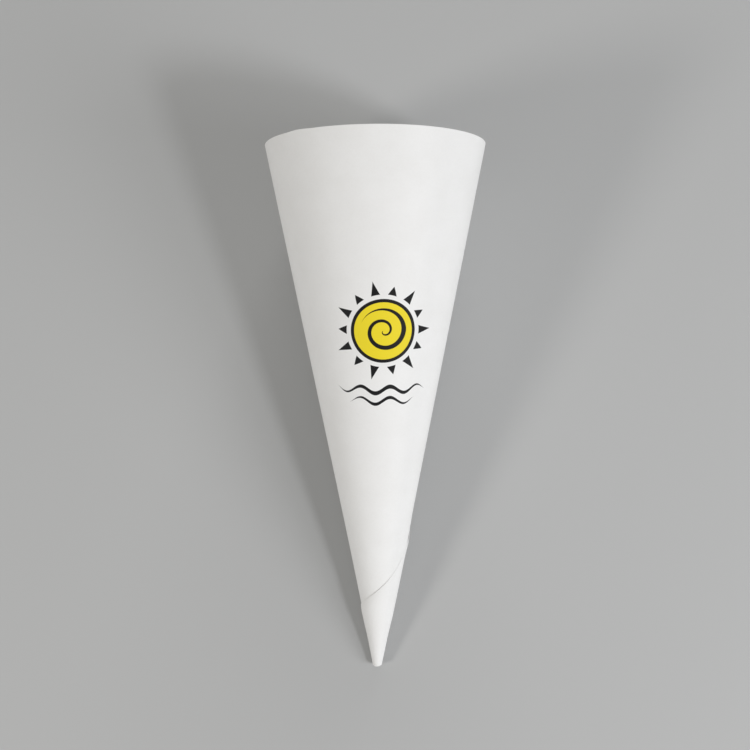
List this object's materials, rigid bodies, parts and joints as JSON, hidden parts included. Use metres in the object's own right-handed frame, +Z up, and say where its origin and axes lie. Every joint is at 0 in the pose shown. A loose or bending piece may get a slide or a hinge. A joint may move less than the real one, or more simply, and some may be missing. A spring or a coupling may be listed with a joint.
{
  "type": "ice cream cone sleeve",
  "caption": "Paper sleeve for an ice cream cone: a white sheet wound into a slim cone, open at its mouth, with its tail wrapped round a blunt closed tip.",
  "frame": {"origin": "middle of the footprint of the sleeve as it lies, at the height of the surface it lies on", "axes": "+Y along the sleeve from its tip to its mouth, +Z up, +X to the right for a viewer above with the mouth pointing away"},
  "size_m": [0.0578, 0.1416, 0.0564],
  "materials": {
    "paper": "matte"
  },
  "bodies": {
    "root": {"paper_sleeve": "paper"}
  },
  "joints": []
}
